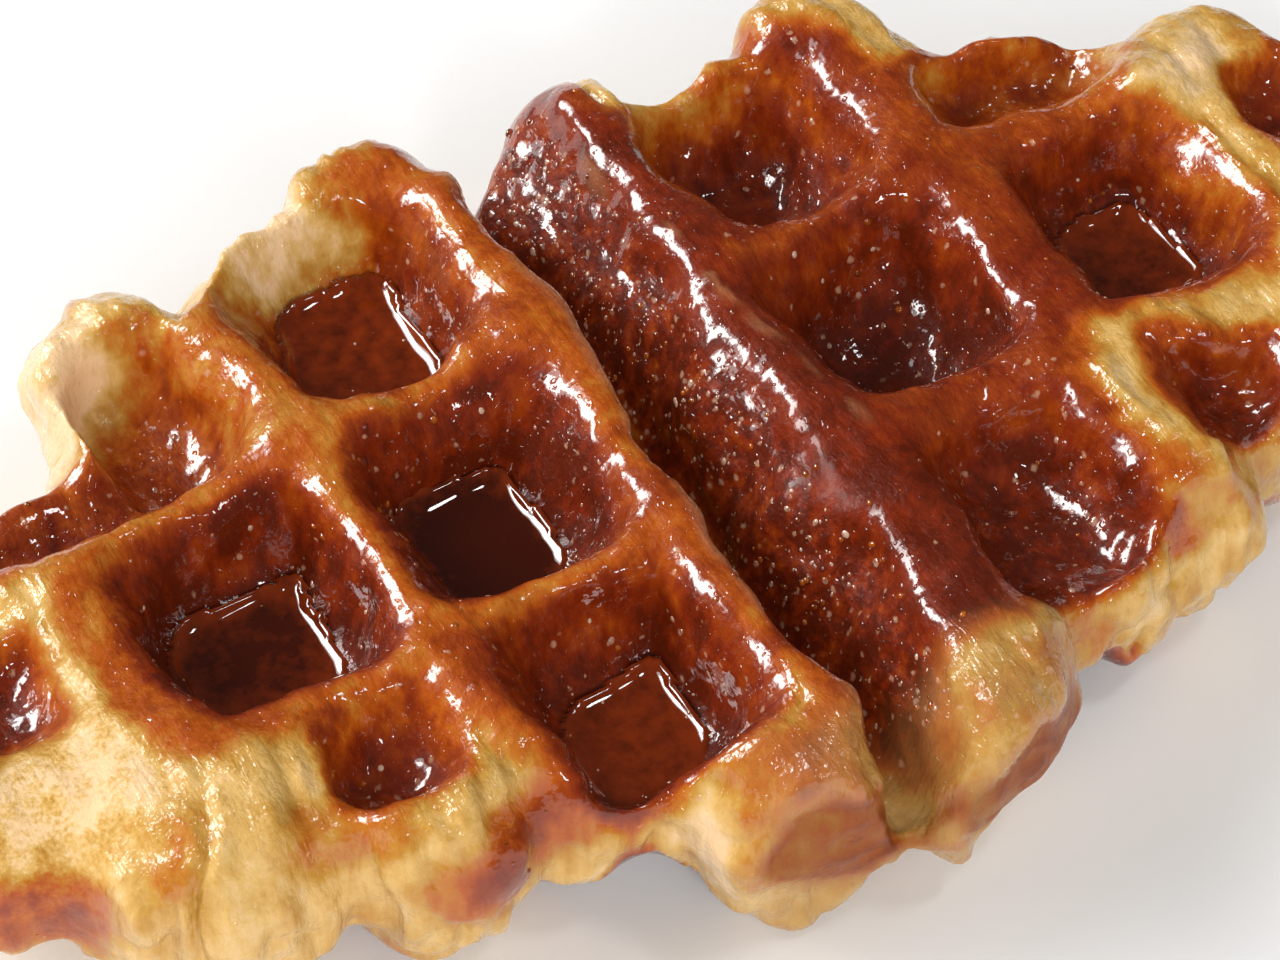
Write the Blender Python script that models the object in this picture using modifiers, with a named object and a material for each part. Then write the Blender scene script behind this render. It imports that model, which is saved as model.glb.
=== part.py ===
"""Croffle: a croissant roll pressed and baked in a deep-grid waffle iron.

One solid in metres, +Z up, resting on the flat tops of its underside ridges.
+X runs along the roll and +Y to the side that lies far from the roll's two ends.
The dough is a row of soft lobes. The iron's two plates flatten it, its pins press
the square pockets into both faces, and the fold of the roll leaves a deep seam.
"""

import math

import bmesh
import bpy
from mathutils import Vector

MM = 0.001

# Driving dimensions of the baked croffle
THICKNESS = 22.6 * MM
ROW_PITCH = 22 * MM
ROW_Y = {"far": ROW_PITCH, "mid": 0.0, "near": -ROW_PITCH}
COLUMN_X = {"L3": -59.5 * MM, "L2": -39.8 * MM, "L1": -18.5 * MM,
            "R1": 19.3 * MM, "R2": 42.2 * MM, "R3": 60.0 * MM}

# The dough's edge, where it swells past the plates
TOP_EDGE_ROUNDING = 8.5 * MM
BASE_EDGE_ROUNDING = 12.0 * MM
PLAN_SQUARENESS = 2.6
TOP_SQUARENESS = 2.3
FOLD_RELIEF = 0.95 * MM
FOLD_SPACING = 5.5 * MM
FOLD_STRETCH = 3

# The iron: tapered pins, and the ridges that the dough forms between them
POCKET_DEPTH_TOP = 11.0 * MM
POCKET_DEPTH_BASE = 6.0 * MM
PIN_LEAN = math.radians(17)
PIN_FLARE = 1.7 * MM
PIN_STAND = 5.0 * MM
PIN_TIP_ROUNDING = 1.4 * MM
PIN_SIDES = 28
PIN_SQUARENESS = 4.6
COMMON_POCKET_WIDTH = 16.0 * MM
RIDGE_SAG = 1.5 * MM
SAG_REACH = 5.5 * MM
SEAM_SAG_REACH = 15 * MM

# The fold of the roll, and the cuts that flatten its two ends: x, y, z, then turn and undercut in degrees
SEAM_X = -6.2 * MM
SEAM_DEPTH = 13 * MM
SEAM_WIDTH = 11.8 * MM
SEAM_REACH = 52 * MM
SEAM_WANDER = 0.7 * MM
SEAM_STATIONS = 15
CREASE_SIZE = 3.8 * MM
ROLL_ENDS = (
    (-9.5 * MM, -40.2 * MM, 18 * MM, -20, 8),
    (6.0 * MM, -41.6 * MM, 18 * MM, 14, 8),
    (12.6 * MM, -38.2 * MM, 12 * MM, 32, 36),
)
ROLL_END_WIDTH = 21 * MM

# Fineness of the baked surface
DOUGH_VOXEL = 1.2 * MM
DOUGH_ROUNDS = 12
VOXEL = 0.75 * MM
SOFTENING_ROUNDS = 10
TRIANGLES = 11000
BASE_TRIM = 0.45 * MM

# From the crossing of the pocket grid's middle lines to the middle of the whole
GRID_PLACE = (-0.3 * MM, 0.9 * MM, 0.0)


class Lobe:
    """One bulge of the dough: a turn of the roll as it swells past the iron."""

    def __init__(self, x, half_width, near, far, half_height=12.6, middle=11.4):
        self.x = x * MM
        self.half_width = half_width * MM
        self.near = near * MM
        self.far = far * MM
        self.half_height = half_height * MM
        self.middle = middle * MM


LOBES = (
    Lobe(-62.0, 12.5, -12.6, 12.0, half_height=9.9, middle=12.2),
    Lobe(-50.5, 12.5, -24.0, 21.2, half_height=11.2, middle=11.8),
    Lobe(-36.3, 10.6, -29.2, 37.4),
    Lobe(-22.5, 13.2, -29.0, 36.4),
    Lobe(-11.4, 11.0, -43.6, 40.8),
    Lobe(3.8, 12.0, -44.6, 35.4),
    Lobe(8.8, 9.3, -38.8, 37.6),
    Lobe(20.9, 11.8, -34.0, 32.4),
    Lobe(30.6, 8.8, -31.6, 37.4),
    Lobe(43.0, 11.5, -26.8, 23.8),
    Lobe(55.5, 11.5, -19.5, 16.8, half_height=12.0),
    Lobe(63.5, 11.5, -12.0, 10.0, half_height=10.6, middle=11.2),
)


class Pocket:
    """One square pocket: its column and row, and how the dough filled it."""

    def __init__(self, column, row, width=17.6, length=18.2, depth=1.0, shift=(0.0, 0.0)):
        self.x = COLUMN_X[column] + shift[0] * MM
        self.y = ROW_Y[row] + shift[1] * MM
        self.width = width * MM
        self.length = length * MM
        self.depth = depth


POCKETS = (
    Pocket("L3", "mid", 8.5, 9.0, 0.45, (0.0, 1.5)),
    Pocket("L3", "far", 18.0, 7.0, 0.55, (11.5, -6.4)),
    Pocket("L2", "far", 12.0, 16.5, 0.85, (2.4, -0.8)),
    Pocket("L2", "mid", 18.4, 19.0, 1.00, (0.0, -0.5)),
    Pocket("L2", "near", 8.5, 9.0, 0.55, (1.8, 4.2)),
    Pocket("L1", "far", 17.4, 19.0, 1.00, (0.3, 0.6)),
    Pocket("L1", "mid", 17.2, 18.6, 1.08),
    Pocket("L1", "near", 17.2, 17.8, 1.00, (0.0, 0.2)),
    Pocket("R1", "far", 16.4, 17.5, 1.00, (0.3, -1.6)),
    Pocket("R1", "mid", 16.8, 18.6, 1.05),
    Pocket("R1", "near", 15.0, 18.6, 0.72, (-1.2, -1.8)),
    Pocket("R2", "far", 17.5, 9.5, 0.62, (0.5, -6.6)),
    Pocket("R2", "mid", 16.4, 17.8, 0.95, (0.0, -2.4)),
    Pocket("R2", "near", 10.0, 9.0, 0.60, (-4.2, 0.4)),
    Pocket("R3", "mid", 8.0, 9.0, 0.45, (-0.4, 1.5)),
)


def clear_scene():
    for obj in list(bpy.data.objects):
        bpy.data.objects.remove(obj, do_unlink=True)


def new_collection(name):
    collection = bpy.data.collections.new(name)
    bpy.context.scene.collection.children.link(collection)
    return collection


def object_from(bm, name, collection):
    """Ends the bmesh and returns its mesh as an object in the collection."""
    mesh = bpy.data.meshes.new(name)
    bm.to_mesh(mesh)
    bm.free()
    obj = bpy.data.objects.new(name, mesh)
    collection.objects.link(obj)
    return obj


def as_cutter(obj):
    obj.hide_render = True
    obj.display_type = "WIRE"
    return obj


def squared_off(value, power):
    """A sine or cosine raised to the power that turns its circle into a rounded square."""
    return math.copysign(abs(value) ** (2 / power), value)


def add_lobe(bm, lobe):
    """Adds a sphere to the bmesh, flattened to a slab with a round edge that fills the lobe's reach."""
    sphere = bmesh.ops.create_uvsphere(bm, u_segments=48, v_segments=28, radius=1)
    middle_y = (lobe.near + lobe.far) / 2
    half_length = (lobe.far - lobe.near) / 2
    for vert in sphere["verts"]:
        around = math.atan2(vert.co.y, vert.co.x)
        up = math.asin(max(-1, min(1, vert.co.z)))
        if up > 0:
            inset = TOP_EDGE_ROUNDING * (1 - squared_off(math.cos(up), TOP_SQUARENESS))
        else:
            inset = BASE_EDGE_ROUNDING * (1 - math.cos(up))
        vert.co = Vector((
            lobe.x + (lobe.half_width - inset) * squared_off(math.cos(around), PLAN_SQUARENESS),
            middle_y + (half_length - inset) * squared_off(math.sin(around), PLAN_SQUARENESS),
            lobe.middle + lobe.half_height * math.sin(up),
        ))


def loft(rings, name, collection):
    """One closed solid through rings that all have the same number of points."""
    bm = bmesh.new()
    rings = [[bm.verts.new(point) for point in ring] for ring in rings]
    for one, two in zip(rings, rings[1:]):
        for i in range(len(one)):
            j = (i + 1) % len(one)
            bm.faces.new((one[i], one[j], two[j], two[i]))
    bm.faces.new(rings[0][::-1])
    bm.faces.new(rings[-1])
    bmesh.ops.recalc_face_normals(bm, faces=bm.faces)
    return object_from(bm, name, collection)


def hollow_between(value, centres, reach):
    """1 at a pocket's centre line, falling to 0 at the ridges beside it."""
    return max(math.exp(-((value - centre) / reach) ** 2) for centre in centres)


def add_plates(collection):
    """The space between the iron's plates. Its top dips where the dough left a ridge low."""
    bm = bmesh.new()
    bmesh.ops.create_cube(bm, size=1)
    bmesh.ops.subdivide_edges(bm, edges=bm.edges, cuts=63, use_grid_fill=True)
    bmesh.ops.scale(bm, vec=(170 * MM, 100 * MM, 1), verts=bm.verts)
    for vert in bm.verts:
        if vert.co.z < 0.499:
            vert.co.z = (vert.co.z + 0.5) * 0.5 * THICKNESS - BASE_TRIM
            continue
        row_sag = hollow_between(vert.co.x, COLUMN_X.values(), SAG_REACH)
        column_sag = 0.6 * hollow_between(vert.co.y, ROW_Y.values(), SAG_REACH)
        column_sag *= 1 - math.exp(-(vert.co.x / SEAM_SAG_REACH) ** 4)
        vert.co.z = THICKNESS - RIDGE_SAG * max(row_sag, column_sag)
    return as_cutter(object_from(bm, "plates", collection))


def block(name, size, collection):
    """A plain block, its middle on the origin in X and Y and its top at z = 0."""
    bm = bmesh.new()
    bmesh.ops.create_cube(bm, size=1)
    bmesh.ops.translate(bm, vec=(0, 0, -0.5), verts=bm.verts)
    bmesh.ops.scale(bm, vec=size, verts=bm.verts)
    return as_cutter(object_from(bm, name, collection))


def add_roll_end(name, place, collection):
    """The flat cut across one end of the roll, turned a little outwards and cut back towards its foot."""
    x, y, z, turn, undercut = place
    trim = block(name, (ROLL_END_WIDTH, 4 * THICKNESS, ROLL_END_WIDTH), collection)
    trim.rotation_euler = (math.radians(undercut - 90), 0, math.radians(turn))
    trim.location = (x, y, z)
    return trim


def add_pin(name, pocket, from_top, collection):
    """One tapered pin of the iron: it flares where it meets the plate and is rounded at its tip."""
    depth = (POCKET_DEPTH_TOP if from_top else POCKET_DEPTH_BASE) * pocket.depth
    lean = math.tan(PIN_LEAN)
    small = min(1.0, pocket.width / COMMON_POCKET_WIDTH)
    straight = depth - PIN_TIP_ROUNDING
    levels = (
        (PIN_STAND, PIN_FLARE + PIN_STAND),
        (0.0, PIN_FLARE),
        (-1.3 * MM, 0.2 * MM),
        (-3.0 * MM, -0.6 * MM),
        (-straight, -straight * lean * small),
        (0.8 * MM - depth, (-depth * lean - 0.8 * MM) * small),
        (-depth, (-depth * lean - PIN_TIP_ROUNDING) * small),
    )
    rings = []
    for level, outset in levels:
        ring = []
        for step in range(PIN_SIDES):
            around = 2 * math.pi * (step + 0.5) / PIN_SIDES
            x = (pocket.width / 2 + outset) * squared_off(math.cos(around), PIN_SQUARENESS)
            y = (pocket.length / 2 + outset) * squared_off(math.sin(around), PIN_SQUARENESS)
            z = THICKNESS + level if from_top else -level
            ring.append((pocket.x + x, pocket.y + y, z))
        rings.append(ring)
    return as_cutter(loft(rings, name, collection))


def add_seam(collection):
    """The fold between the two ends of the roll: steep under the left lip, sloping up to the right."""
    section = (
        (0.0, PIN_STAND),
        (0.6 * MM, -3.0 * MM),
        (2.2 * MM, -SEAM_DEPTH),
        (4.2 * MM, -SEAM_DEPTH),
        (SEAM_WIDTH, -0.6 * MM),
        (SEAM_WIDTH + 0.6 * MM, PIN_STAND),
    )
    rings = []
    for station in range(SEAM_STATIONS):
        along = station / (SEAM_STATIONS - 1)
        y = SEAM_REACH * (1 - 2 * along)
        left = SEAM_X + SEAM_WANDER * math.sin(7 * along)
        width = 1 - 1.1 * max(0.0, along - 0.62)
        rings.append([(left + x * width, y, THICKNESS + z) for x, z in section])
    return as_cutter(loft(rings, "fold of the roll", collection))


def add_crease(collection):
    """The same fold seen from below, a shallow three-sided groove."""
    bm = bmesh.new()
    bmesh.ops.create_cone(bm, cap_ends=True, segments=3, radius1=CREASE_SIZE, radius2=CREASE_SIZE,
                          depth=2 * SEAM_REACH)
    crease = object_from(bm, "crease below", collection)
    crease.rotation_euler = (math.radians(90), 0, 0)
    crease.location = (-1.0 * MM, 0, 0)
    return as_cutter(crease)


def add_modifier(obj, kind, name, **settings):
    modifier = obj.modifiers.new(name, kind)
    for key, value in settings.items():
        setattr(modifier, key, value)
    return modifier


def pastry_material():
    """Baked dough under a thin glaze."""
    material = bpy.data.materials.new("baked pastry")
    material.use_nodes = True
    shader = material.node_tree.nodes["Principled BSDF"]
    shader.inputs["Base Color"].default_value = (0.45, 0.17, 0.035, 1)
    shader.inputs["Roughness"].default_value = 0.35
    shader.inputs["Metallic"].default_value = 0.0
    return material


def triangle_count(obj):
    """How many triangles the object has after its modifiers."""
    graph = bpy.context.evaluated_depsgraph_get()
    mesh = obj.evaluated_get(graph).data
    return sum(len(face.vertices) - 2 for face in mesh.polygons)


def build():
    clear_scene()
    parts = new_collection("croffle parts")
    iron = new_collection("waffle iron")
    pins = bpy.data.collections.new("pins")
    iron.children.link(pins)

    bm = bmesh.new()
    for lobe in LOBES:
        add_lobe(bm, lobe)
    croffle = object_from(bm, "croffle", parts)

    plates = add_plates(iron)
    floor = block("floor", (200 * MM, 120 * MM, 20 * MM), iron)
    seam = add_seam(iron)
    crease = add_crease(iron)
    for number, place in enumerate(ROLL_ENDS, 1):
        add_roll_end(f"roll end {number}", place, pins)
    for number, pocket in enumerate(POCKETS, 1):
        add_pin(f"top pin {number}", pocket, True, pins)
        add_pin(f"base pin {number}", pocket, False, pins)

    folds = bpy.data.textures.new("folds of the crust", "CLOUDS")
    folds.noise_scale = FOLD_SPACING
    folds.noise_depth = 2
    upright = bpy.data.objects.new("folds stand upright", None)
    upright.scale = (1, 1, FOLD_STRETCH)
    parts.objects.link(upright)

    add_modifier(croffle, "REMESH", "one dough", mode="VOXEL", voxel_size=DOUGH_VOXEL)
    add_modifier(croffle, "SMOOTH", "rounded dough", factor=0.5, iterations=DOUGH_ROUNDS)
    add_modifier(croffle, "DISPLACE", "folds", texture=folds, texture_coords="OBJECT",
                 texture_coords_object=upright, strength=2 * FOLD_RELIEF, mid_level=0.5)
    add_modifier(croffle, "BOOLEAN", "flattened", operation="INTERSECT", object=plates)
    add_modifier(croffle, "BOOLEAN", "fold", operation="DIFFERENCE", object=seam)
    add_modifier(croffle, "BOOLEAN", "crease", operation="DIFFERENCE", object=crease)
    add_modifier(croffle, "BOOLEAN", "pockets", operation="DIFFERENCE",
                 operand_type="COLLECTION", collection=pins)
    add_modifier(croffle, "REMESH", "baked", mode="VOXEL", voxel_size=VOXEL)
    add_modifier(croffle, "SMOOTH", "softened", factor=0.5, iterations=SOFTENING_ROUNDS)
    add_modifier(croffle, "DECIMATE", "facets", ratio=TRIANGLES / triangle_count(croffle))
    add_modifier(croffle, "BOOLEAN", "flat to rest on", operation="DIFFERENCE", object=floor)
    croffle.data.materials.append(pastry_material())

    grid = bpy.data.objects.new("middle of the grid", None)
    parts.objects.link(grid)
    for obj in list(parts.objects) + list(iron.all_objects):
        if obj != grid:
            obj.parent = grid
    grid.location = GRID_PLACE


build()
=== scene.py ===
"""Looks of a glazed croffle: its crust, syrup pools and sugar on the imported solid, and a plain stage."""

import itertools
import math

import bmesh
import bpy
import numpy as np
from mathutils import Matrix, Vector
from mathutils.bvhtree import BVHTree


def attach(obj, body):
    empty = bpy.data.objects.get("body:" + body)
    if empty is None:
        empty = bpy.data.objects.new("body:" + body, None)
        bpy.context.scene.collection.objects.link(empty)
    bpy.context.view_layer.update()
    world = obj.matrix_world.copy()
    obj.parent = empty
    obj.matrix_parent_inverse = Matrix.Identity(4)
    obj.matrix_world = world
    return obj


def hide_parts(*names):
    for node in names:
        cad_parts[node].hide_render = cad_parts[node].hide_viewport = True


bl_info = {
    "name": "Glazed croffle",
    "version": (1, 0, 0),
    "blender": (4, 5, 0),
    "location": "3D View > Sidebar > Croffle",
    "description": "Builds a croffle's glazed crust, syrup and sugar on its solid, and a pale stage",
    "category": "Object",
}

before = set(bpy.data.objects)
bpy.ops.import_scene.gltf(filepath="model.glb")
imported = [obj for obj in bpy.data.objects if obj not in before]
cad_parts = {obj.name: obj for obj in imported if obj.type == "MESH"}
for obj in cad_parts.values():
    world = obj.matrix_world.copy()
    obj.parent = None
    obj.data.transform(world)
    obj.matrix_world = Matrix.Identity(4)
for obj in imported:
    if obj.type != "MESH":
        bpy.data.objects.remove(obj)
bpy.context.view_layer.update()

NODE = "croffle"
BODY = "root"
MM = 0.001

# The iron's pockets in plan, in millimetres: middle, width, length, depth from the top
TOP_PLANE = 22.6
POCKETS = (
    (-60.2, 2.8, 7.2, 7.6, 5.0),
    (-48.3, 16.5, 18.0, 7.0, 6.0),
    (-37.7, 22.1, 12.0, 16.5, 9.3),
    (-40.1, 0.4, 18.4, 19.0, 11.0),
    (-38.3, -16.9, 8.5, 9.0, 6.0),
    (-18.5, 23.5, 17.4, 19.0, 11.0),
    (-18.8, 0.9, 17.2, 18.6, 11.9),
    (-18.8, -20.9, 17.2, 17.8, 11.0),
    (19.3, 21.3, 16.4, 17.5, 11.0),
    (19.0, 0.9, 16.8, 18.6, 11.5),
    (17.8, -22.9, 15.0, 18.6, 7.9),
    (42.4, 16.3, 17.5, 9.5, 6.8),
    (41.9, -1.5, 16.4, 17.8, 10.5),
    (37.7, -20.7, 10.0, 9.0, 6.6),
    (59.3, 2.4, 8.0, 9.0, 5.0),
)
# Where the plates browned the dough round each pocket: left, right, near and far edge
ZONES = (
    (-65.0, -54.5, -3.5, 8.0),
    (-60.0, -38.0, 9.5, 22.5),
    (-41.5, -27.0, 9.5, 27.5),
    (-54.0, -27.0, -13.6, 14.0),
    (-43.2, -33.6, -21.6, -10.0),
    (-31.0, -7.0, 9.5, 36.0),
    (-31.0, -7.0, -14.5, 14.0),
    (-30.6, -7.0, -29.6, -8.0),
    (7.0, 31.5, 9.5, 32.0),
    (7.0, 31.5, -14.5, 13.5),
    (7.0, 27.5, -30.5, -8.5),
    (28.0, 53.0, 8.0, 23.0),
    (28.0, 51.5, -12.8, 11.0),
    (32.4, 43.0, -26.2, -13.8),
    (54.0, 64.5, -3.5, 8.0),
)
# Crossings of the ridges, browned as much as the ridges are
CROSSINGS = ((-36.0, -22.0, 4.0, 18.0), (-36.0, -22.0, -18.0, -4.0), (22.0, 35.0, 4.0, 18.0))
# How dark each pocket baked, from 0 to 1
TONES = (0.72, 0.6, 0.46, 0.86, 0.62, 0.72, 0.85, 0.78, 0.7, 0.78, 0.76, 0.5, 0.8, 0.68, 0.68)
SEAM_LEFT, SEAM_RIGHT = -9.0, 10.0
SEAM_NEAR, SEAM_FAR = -32.0, 40.0
TRENCH_RIGHT = 5.2
# Points below this height whose normal rises less than this make the underside, with a coarser mesh
UNDERSIDE, UNDERSIDE_RISE = 8.0, 0.2
# Depth of the underside's pockets as a share of the top's
UNDERSIDE_SHARE = 0.545


def linear(hex_colour):
    """Turns an sRGB hex colour into Blender's linear red, green, blue and alpha."""
    parts = [int(hex_colour[place : place + 2], 16) / 255 for place in (1, 3, 5)]
    return tuple(p / 12.92 if p <= 0.04045 else ((p + 0.055) / 1.055) ** 2.4 for p in parts) + (1.0,)


class CroffleCrust(bpy.types.PropertyGroup):
    """Sizes and colours of the baked crust"""

    voxel: bpy.props.FloatProperty(
        name="Mesh step", description="Width of the crust's mesh faces",
        default=0.00057, unit="LENGTH", precision=5,
    )
    smoothing: bpy.props.IntProperty(
        name="Smoothing rounds", description="Rounds that take the solid's facets off", default=13
    )
    sharpness: bpy.props.FloatProperty(
        name="Sharpness", description="Share of the edges' form that smoothing leaves",
        default=0.55, subtype="FACTOR",
    )
    most_triangles: bpy.props.IntProperty(
        name="Most triangles", description="Triangles the crust may have, saved on its underside",
        default=190000,
    )
    dough_relief: bpy.props.FloatProperty(
        name="Dough relief", description="Height of the dough's soft lumps",
        default=0.0003, unit="LENGTH", precision=5,
    )
    strand_relief: bpy.props.FloatProperty(
        name="Strand relief", description="Height of the flaky strands on the pale sides",
        default=0.00055, unit="LENGTH", precision=5,
    )
    cream: bpy.props.FloatVectorProperty(
        name="Cream dough", description="Palest dough", default=linear("#E6C293"), subtype="COLOR", size=4
    )
    golden: bpy.props.FloatVectorProperty(
        name="Golden dough", description="Lightly baked dough",
        default=linear("#BC8B3B"), subtype="COLOR", size=4,
    )
    amber: bpy.props.FloatVectorProperty(
        name="Amber crust", description="Glazed ridges", default=linear("#A94E0B"), subtype="COLOR", size=4
    )
    caramel: bpy.props.FloatVectorProperty(
        name="Caramel crust", description="Pocket walls", default=linear("#782406"), subtype="COLOR", size=4
    )
    dark: bpy.props.FloatVectorProperty(
        name="Dark crust", description="Pocket floors", default=linear("#3F1104"), subtype="COLOR", size=4
    )


class CroffleSyrup(bpy.types.PropertyGroup):
    """Sizes and colours of the syrup and the sugar"""

    step: bpy.props.FloatProperty(
        name="Mesh step", description="Width of the pools' mesh faces",
        default=0.0003, unit="LENGTH", precision=5,
    )
    meniscus: bpy.props.FloatProperty(
        name="Meniscus", description="How far a pool climbs the wall",
        default=0.0015, unit="LENGTH", precision=5,
    )
    reach: bpy.props.FloatProperty(
        name="Meniscus width", description="How far from the wall a pool curls up",
        default=0.0015, unit="LENGTH", precision=5,
    )
    shallow: bpy.props.FloatVectorProperty(
        name="Thin syrup", description="Syrup near its shore",
        default=linear("#84300C"), subtype="COLOR", size=4,
    )
    deep: bpy.props.FloatVectorProperty(
        name="Deep syrup", description="Syrup where it is deepest",
        default=linear("#431304"), subtype="COLOR", size=4,
    )
    beads: bpy.props.IntProperty(name="Beads", description="Small bubbles in the glaze", default=320)
    grains: bpy.props.IntProperty(
        name="Sugar grains", description="Pale sugar specks in the glaze", default=760
    )
    froth: bpy.props.IntProperty(
        name="Froth", description="Small bubbles that float on the syrup", default=50
    )


# Arithmetic on arrays of points, all in millimetres

# Turns the lattice of even noise, so that its bumps don't line up with the grid of pockets
LATTICE_TURN = np.array(Matrix.Rotation(0.6, 3, Vector((1, 2, 3))))
LATTICE_CELLS = 48
# How far each seed moves the lattice, in cells
SEED_SHIFT = 0.37


def noise(points, size, seed):
    """Smooth random relief from -1 to 1 with bumps about size wide, or of three sizes along X, Y and Z."""
    lattice = np.random.default_rng(seed).uniform(-1, 1, (LATTICE_CELLS,) * 3)
    turned = points @ LATTICE_TURN.T if np.isscalar(size) else points
    scaled = turned / np.asarray(size) + seed * SEED_SHIFT
    cell = np.floor(scaled).astype(int)
    part = scaled - cell
    part = part * part * (3 - 2 * part)
    total = np.zeros(len(points))
    for corner in itertools.product((0, 1), repeat=3):
        share = np.prod(np.where(corner, part, 1 - part), axis=1)
        index = (cell + corner) % LATTICE_CELLS
        total += share * lattice[index[:, 0], index[:, 1], index[:, 2]]
    return total


def rise(low, high, values):
    """0 below low, 1 above high and smooth between; low may be the larger."""
    part = np.clip((values - low) / (high - low), 0, 1)
    return part * part * (3 - 2 * part)


def pocket_distance(points, pocket):
    """Distance in plan from a pocket's rounded rim, negative inside it."""
    x, y, width, length, _ = pocket
    across = np.abs(points[:, 0] - x) / (width / 2)
    along = np.abs(points[:, 1] - y) / (length / 2)
    return ((across**4 + along**4) ** 0.25 - 1) * min(width, length) / 2


def spot(points, middle, size):
    """1 at a place and 0 beyond size from it."""
    return rise(1.0, 0.0, np.linalg.norm((points - middle) / size, axis=1))


# Places with a bake of their own: middle, half size, and how much darker
TOAST_SPOTS = (
    ((-20.5, 32.5, 18), (12, 9, 10), -0.75),
    ((15, 31, 20), (13, 8, 8), -0.45),
    ((-42.5, 29, 18), (8, 9, 9), -0.9),
    ((1, 38, 16), (10, 10, 10), -0.25),
    ((-23, -32.5, 12), (9, 4.5, 12), -0.5),
    ((-29.5, -17, 20), (4, 11, 7), 0.24),
    ((-56, -17, 20), (6, 5, 6), 0.2),
    ((-10.5, 1, 18), (3.5, 9, 6), 0.12),
    ((26.5, -2, 18), (3.5, 9, 6), 0.14),
    ((-34.7, 11, 21.5), (8, 4, 6), 0.2),
    ((49.5, -3, 19), (5, 12, 8), -0.3),
    ((54, 11, 20), (12, 12, 12), -0.25),
    ((-65, -13, 12), (10, 7, 7), 0.6),
    ((-33.6, -27.0, 15), (9, 6, 7), 0.65),
    ((26.3, -25.4, 21), (5, 9, 6), 0.08),
    ((-13, -34, 20), (12, 7, 8), 0.4),
    ((5, -38, 20), (9, 6, 8), 0.22),
    ((6, -33, 16), (9, 8, 6), 0.1),
    ((60, -12, 14), (16, 12, 9), 0.18),
    ((40, -26, 12), (14, 8, 8), 0.12),
)
# The swollen cream-coloured side: middle and half size
CREAM_BULGE = ((-59.5, -4, 19), (14, 14.5, 16))
# The part of the crest where the brushed glaze ran off: middle and half size
THIN_GLAZE = ((5.5, -15, 20), (8, 13, 7))
# The flat ends of the roll: a point of the cut, how far it is turned in degrees, and half its width
ROLL_ENDS = (((-9.4, -39.3), -20, 8.6), ((5.9, -40.7), 14, 7.6))
ROLL_END_HEIGHT = 13.0
ROLL_END_TOP = 18.0
# How far the cut leans back for each millimetre below its top, and its height over its width
ROLL_END_LEAN = 0.14
ROLL_END_SQUASH = 0.74
# How close the rings of the roll's turns lie, in radians from its middle to its rim
RING_PACE = 17
# How dark each kind of place baked, from 0 for cream to 1 for the darkest caramel
PALE_BAKE = 0.17
RIDGE_BAKE = 0.44
TRENCH_BAKE = 0.86
ROLL_END_BAKE = 0.52
ROLL_RIM_BAKE = 0.38
# How much darker the bottom of a pocket is than its walls
POCKET_BOTTOM_BAKE = 0.12
# Raises the masks of the cream side and of the thin glaze, so that they are full over a wide middle
FULL_SPOT = 1.6


def zone_depth(points, zone):
    """How far inside a browned zone's rounded outline each point lies in plan."""
    left, right, near, far = zone
    across = np.abs(points[:, 0] - (left + right) / 2) / ((right - left) / 2)
    along = np.abs(points[:, 1] - (near + far) / 2) / ((far - near) / 2)
    return (1 - (across**4 + along**4) ** 0.25) * min(right - left, far - near) / 2


def roll_ends(points):
    """Masks of the roll's cut dough and of the rim round it, and the faint rings of its turns."""
    height = points[:, 2]
    face, rim, rings = np.zeros((3, len(points)))
    wander = noise(points, 3.0, 31)
    for place, turn, half_size in ROLL_ENDS:
        out = np.array([math.sin(math.radians(turn)), -math.cos(math.radians(turn))])
        aside = np.array([-out[1], out[0]])
        from_place = points[:, :2] - place
        from_cut = from_place @ out + ROLL_END_LEAN * np.clip(ROLL_END_TOP - height, 0, ROLL_END_TOP)
        up = (height - ROLL_END_HEIGHT) / (ROLL_END_SQUASH * half_size)
        radius = np.hypot(from_place @ aside / half_size, up) + 0.14 * wander
        close = rise(-3.0, -1.5, from_cut)
        face = np.maximum(face, rise(1.15, 0.7, radius) * close)
        rim = np.maximum(rim, rise(0.85, 1.0, radius) * rise(1.35, 1.1, radius) * close)
        rings += np.sin(radius * RING_PACE + 2 * wander) * close
    return face, rim, rings * face


def lip_distance(points):
    """How far right of the fold's wandering left lip each point lies."""
    along = (52.9 - points[:, 1]) / 104
    return points[:, 0] + 6.5 - 0.7 * np.sin(7 * along)


def crease_depth(points):
    """The steep fold where the swollen cream side meets the wet layers: 1 in its bottom, 0 away from it."""
    across = 0.9 * (points[:, 0] + 53.5) - 0.44 * (points[:, 1] + 15.5) + 0.6 * noise(points, 4.0, 39)
    return rise(0.8, 0.1, np.abs(across)) * rise(-11, -14, points[:, 1]) * rise(3, 8, points[:, 2])


def pocket_fields(points, wander):
    """How far inside a pocket each point is, how deep there, and how dark that pocket baked."""
    height = points[:, 2]
    # The stain narrows below the rim as the walls do, on the top and on the underside
    below_rim = np.clip(np.minimum(TOP_PLANE - 1.5 - height, height - 1.0), 0, 9)
    inside, depth, darkest = np.zeros((3, len(points)))
    for pocket, tone in zip(POCKETS, TONES):
        within = rise(1.5, 0.0, pocket_distance(points, pocket) + 0.3 * below_rim + 0.2 * wander)
        part_above = np.clip((TOP_PLANE - height) / pocket[4], 0, 1)
        part_below = np.clip(height / (pocket[4] * UNDERSIDE_SHARE), 0, 1)
        depth = np.maximum(depth, within * np.where(height > TOP_PLANE / 2, part_above, part_below))
        darkest = np.where(within > inside, tone, darkest)
        inside = np.maximum(inside, within)
    return inside, depth, darkest


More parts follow.
